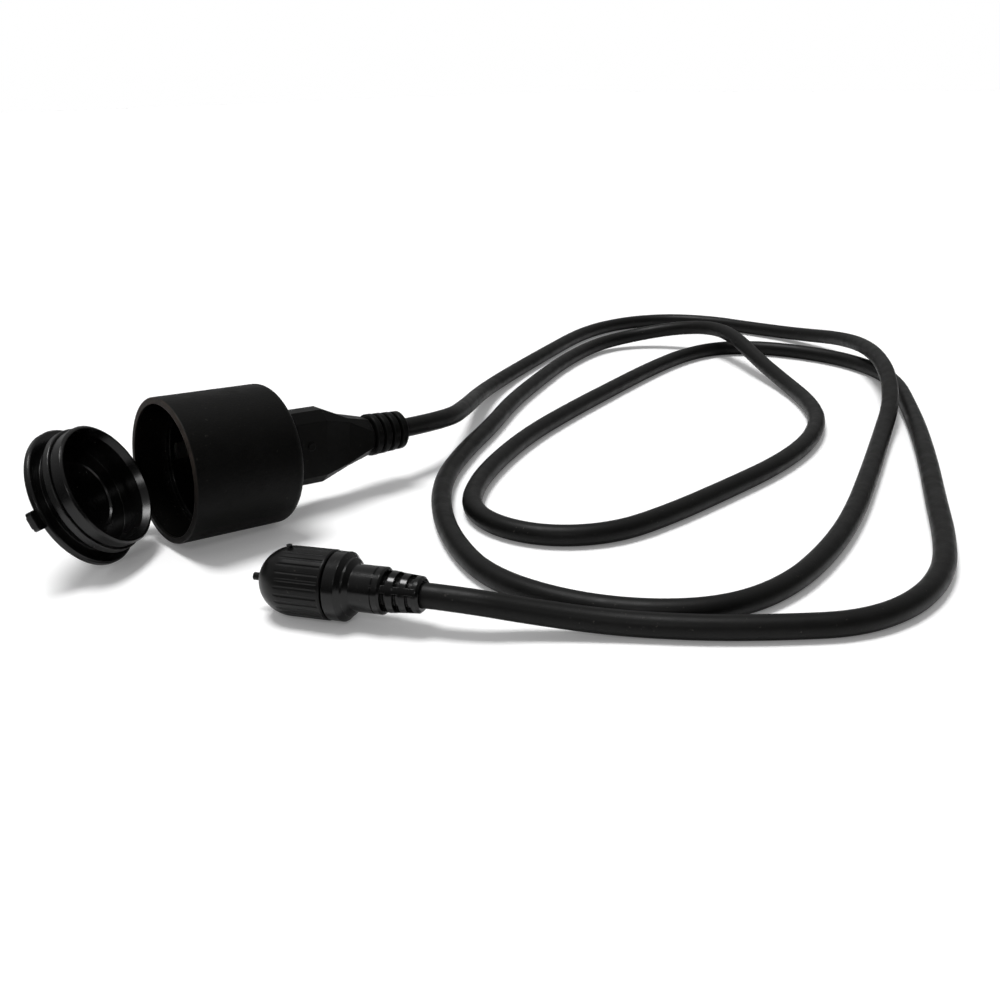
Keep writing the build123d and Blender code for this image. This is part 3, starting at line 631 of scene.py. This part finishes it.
class SOCKETCORD_OT_socket(bpy.types.Operator):
    """Finishes the cup, the carrier, the contacts, the cores and the grip"""
    bl_idname = "socketcord.socket"
    bl_label = "Socket"

    def execute(self, context):
        tone = settings().finish
        dress(["socket_shell"], shell_finish())
        carrier = finish("carrier gloss", tone.gloss, rough=(0.16, 0.26), grain_scale=700.0,
                         grain_depth=0.06, film=0.005, specks=0.1, wear=0.3, specular=0.4)
        dress(["contact_carrier"], carrier)
        grip = finish("grip rubber", tone.rubber, rough=(0.34, 0.46), grain_scale=1300.0, grain_depth=0.2,
                      film=0.006, specks=0.15, radius=0.0005, specular=0.09)
        dress(["grip_boot"], grip)
        brass = metal("contact brass", (0.75, 0.58, 0.28), (0.2, 0.4))
        dress(["contact_sleeve_upper", "contact_sleeve_lower"], brass)
        # Plated metal darkened as painted shade, so that the earth strap in the cup's recess shows little
        # light; the hinge pin shares it
        plated = metal("plated strip", (0.2, 0.19, 0.175), (0.25, 0.45))
        dress(["earth_strap", "hinge_pin"], plated)
        cores = (("core_wire_live", (0.16, 0.06, 0.025)), ("core_wire_neutral", (0.03, 0.09, 0.32)),
                 ("core_wire_earth", (0.2, 0.33, 0.04)))
        for name, colour in cores:
            sleeve = finish(name + " sleeve", colour, rough=(0.4, 0.5), grain_scale=800.0, grain_depth=0.1,
                            film=0.05, specks=0.1)
            dress([name], sleeve)
        return {"FINISHED"}


class SOCKETCORD_OT_lid(bpy.types.Operator):
    """Finishes the lid and its seal"""
    bl_idname = "socketcord.lid"
    bl_label = "Lid"

    def execute(self, context):
        tone = settings().finish
        lid = finish("lid gloss", tone.gloss, rough=(0.18, 0.28), grain_scale=420.0, grain_depth=0.05,
                     film=0.005, specks=0.15, wear=0.6, specular=0.34)
        dress(["lid"], lid)
        seal = finish("seal rubber", tone.rubber, rough=(0.24, 0.36), grain_scale=900.0, grain_depth=0.08,
                      film=0.01, specks=0.3, wear=0.5, specular=0.42)
        dress(["lid_seal"], seal)
        return {"FINISHED"}


class SOCKETCORD_OT_connector(bpy.types.Operator):
    """Finishes the connector, its insert, its pins and its screw cap"""
    bl_idname = "socketcord.connector"
    bl_label = "Connector"

    def execute(self, context):
        tone = settings().finish
        cap = finish("cap gloss", tone.gloss, rough=(0.26, 0.38), grain_scale=600.0, grain_depth=0.07,
                     film=0.008, specks=0.3, wear=0.6, radius=0.0003, specular=0.22)
        dress(["screw_cap"], cap)
        body = finish("connector gloss", tone.gloss, rough=(0.15, 0.24), grain_scale=600.0,
                      grain_depth=0.06, film=0.004, specks=0.2, wear=0.4, radius=0.0003, specular=0.33)
        dress(["connector_body"], body)
        insert = finish("insert black", tone.shell, rough=(0.4, 0.5), grain_scale=900.0, grain_depth=0.15,
                        film=0.05, specks=0.1)
        dress(["connector_insert"], insert)
        washer = finish("washer rubber", tone.rubber, rough=(0.45, 0.55), grain_scale=900.0,
                        grain_depth=0.15, film=0.1, specks=0.2)
        dress(["cap_seal"], washer)
        brass = metal("pin brass", (0.78, 0.62, 0.3), (0.15, 0.3))
        dress(["contact_pin_1", "contact_pin_2", "contact_pin_3"], brass)
        return {"FINISHED"}


OPERATORS = (SOCKETCORD_OT_stage, SOCKETCORD_OT_cord, SOCKETCORD_OT_socket, SOCKETCORD_OT_lid,
             SOCKETCORD_OT_connector)


class SocketCordSettings(bpy.types.PropertyGroup):
    """All settings of the socket cord"""
    stage: PointerProperty(type=StageSettings)
    cord: PointerProperty(type=CordSettings)
    finish: PointerProperty(type=FinishSettings)


class SOCKETCORD_PT_panel(bpy.types.Panel):
    """Lists the settings and the steps"""
    bl_label = "Socket cord"
    bl_idname = "SOCKETCORD_PT_panel"
    bl_space_type = "VIEW_3D"
    bl_region_type = "UI"
    bl_category = "Socket cord"

    def draw(self, context):
        values = context.scene.socket_cord
        for group in (values.stage, values.cord, values.finish):
            box = self.layout.box()
            for name in group.__annotations__:
                box.prop(group, name)
        for operator in OPERATORS:
            self.layout.operator(operator.bl_idname)


CLASSES = (StageSettings, CordSettings, FinishSettings, SocketCordSettings, *OPERATORS, SOCKETCORD_PT_panel)


def register():
    """Registers the classes and hangs the settings on the scene."""
    for entry in CLASSES:
        bpy.utils.register_class(entry)
    bpy.types.Scene.socket_cord = PointerProperty(type=SocketCordSettings)


def unregister():
    """Takes the settings and the classes away again."""
    del bpy.types.Scene.socket_cord
    for entry in reversed(CLASSES):
        bpy.utils.unregister_class(entry)


def main():
    register()
    bpy.ops.socketcord.stage()
    bpy.ops.socketcord.cord()
    bpy.ops.socketcord.socket()
    bpy.ops.socketcord.lid()
    bpy.ops.socketcord.connector()


if __name__ == "__main__":
    main()
